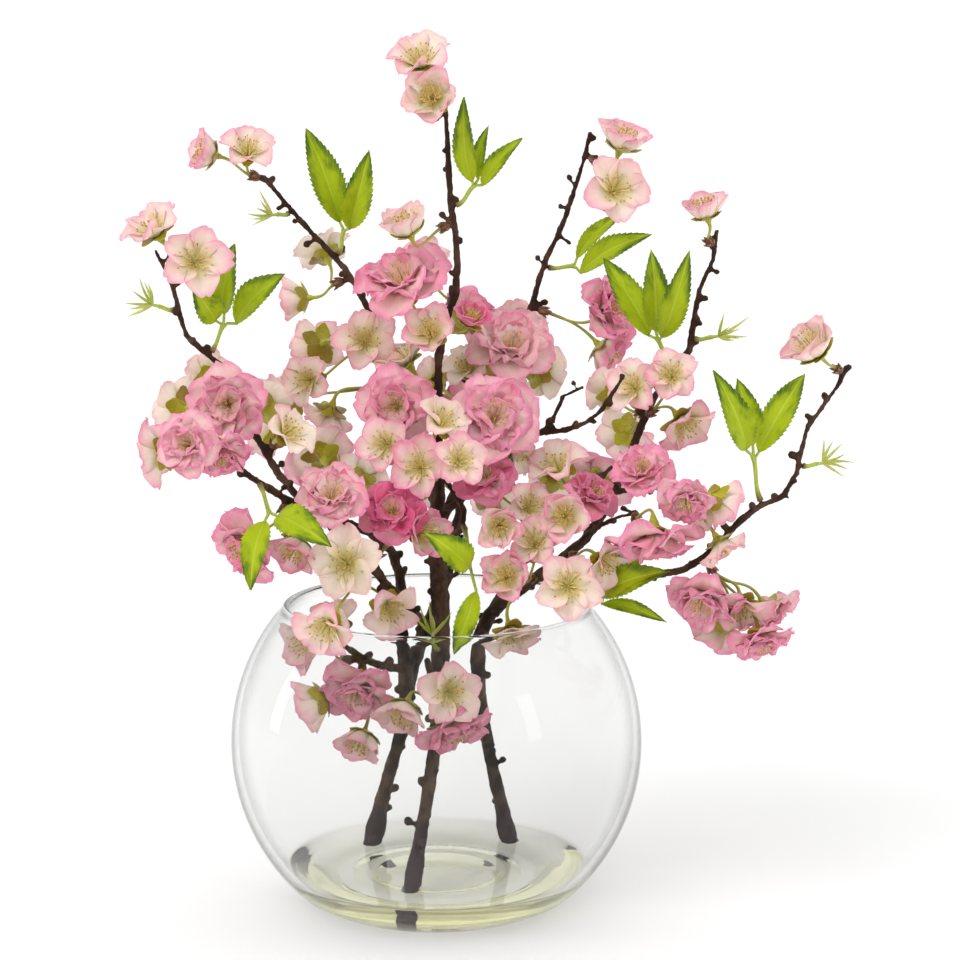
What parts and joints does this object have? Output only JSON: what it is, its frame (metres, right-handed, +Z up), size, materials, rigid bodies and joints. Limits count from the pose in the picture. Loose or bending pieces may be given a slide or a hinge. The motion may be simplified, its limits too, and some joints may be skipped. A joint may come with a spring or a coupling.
{
  "type": "cherry blossom sprigs in a glass vase",
  "caption": "Cut sprigs of pink cherry blossom with young leaves, standing in clear resin water in a round glass bubble vase that rests on its flat base.",
  "frame": {"origin": "middle of the flat underside of the vase", "axes": "+Z up along the vase's axis, front is -Y, +X to the right seen from the front"},
  "size_m": [0.3523, 0.2124, 0.4306],
  "materials": {
    "glass": "clear polished glass",
    "resin": "clear cast resin that stands for water",
    "bark": "dark brown rough bark",
    "petal": "thin soft petals, pink at the edge and cream at the heart",
    "leaf": "thin fresh green leaves"
  },
  "bodies": {
    "root": {"vase": "glass", "resin_water": "resin", "front_sprig": "bark", "left_sprig": "bark", "right_sprig": "bark", "top_blossoms": "petal", "top_side_blossom": "petal", "upper_left_tip_blossoms": "petal", "upper_left_back_blossoms": "petal", "upper_left_low_blossoms": "petal", "upper_left_under_blossoms": "petal", "crown_blossoms": "petal", "crown_front_blossoms": "petal", "right_crown_blossoms": "petal", "right_crown_back_blossoms": "petal", "far_left_tip_blossoms": "petal", "left_heart_blossoms": "petal", "left_low_blossoms": "petal", "left_inner_blossoms": "petal", "left_front_blossoms": "petal", "left_down_blossoms": "petal", "front_open_blossoms": "petal", "bowl_side_blossoms": "petal", "bowl_left_blossoms": "petal", "bowl_front_blossoms": "petal", "heart_left_blossoms": "petal", "heart_blossoms": "petal", "heart_right_blossoms": "petal", "heart_low_blossoms": "petal", "right_cup_blossoms": "petal", "low_blossoms": "petal", "right_open_blossoms": "petal", "right_wide_blossom": "petal", "right_top_blossoms": "petal", "right_pink_blossoms": "petal", "tall_right_blossom": "petal", "elbow_right_blossoms": "petal", "elbow_back_blossoms": "petal", "right_twig_blossoms": "petal", "far_right_blossom": "petal", "droop_blossoms": "petal", "rear_left_blossoms": "petal", "rear_blossoms": "petal", "rear_crown_blossoms": "petal", "rear_low_blossoms": "petal", "rear_right_blossoms": "petal", "upper_left_leaves": "leaf", "left_leaves": "leaf", "top_leaves": "leaf", "upper_right_leaves": "leaf", "right_leaves": "leaf", "far_right_leaves": "leaf", "left_front_leaves": "leaf", "heart_leaves": "leaf", "right_low_leaves": "leaf", "left_shoots": "leaf", "upper_left_shoots": "leaf", "right_shoots": "leaf", "far_right_shoots": "leaf", "bowl_shoots": "leaf"}
  },
  "joints": []
}
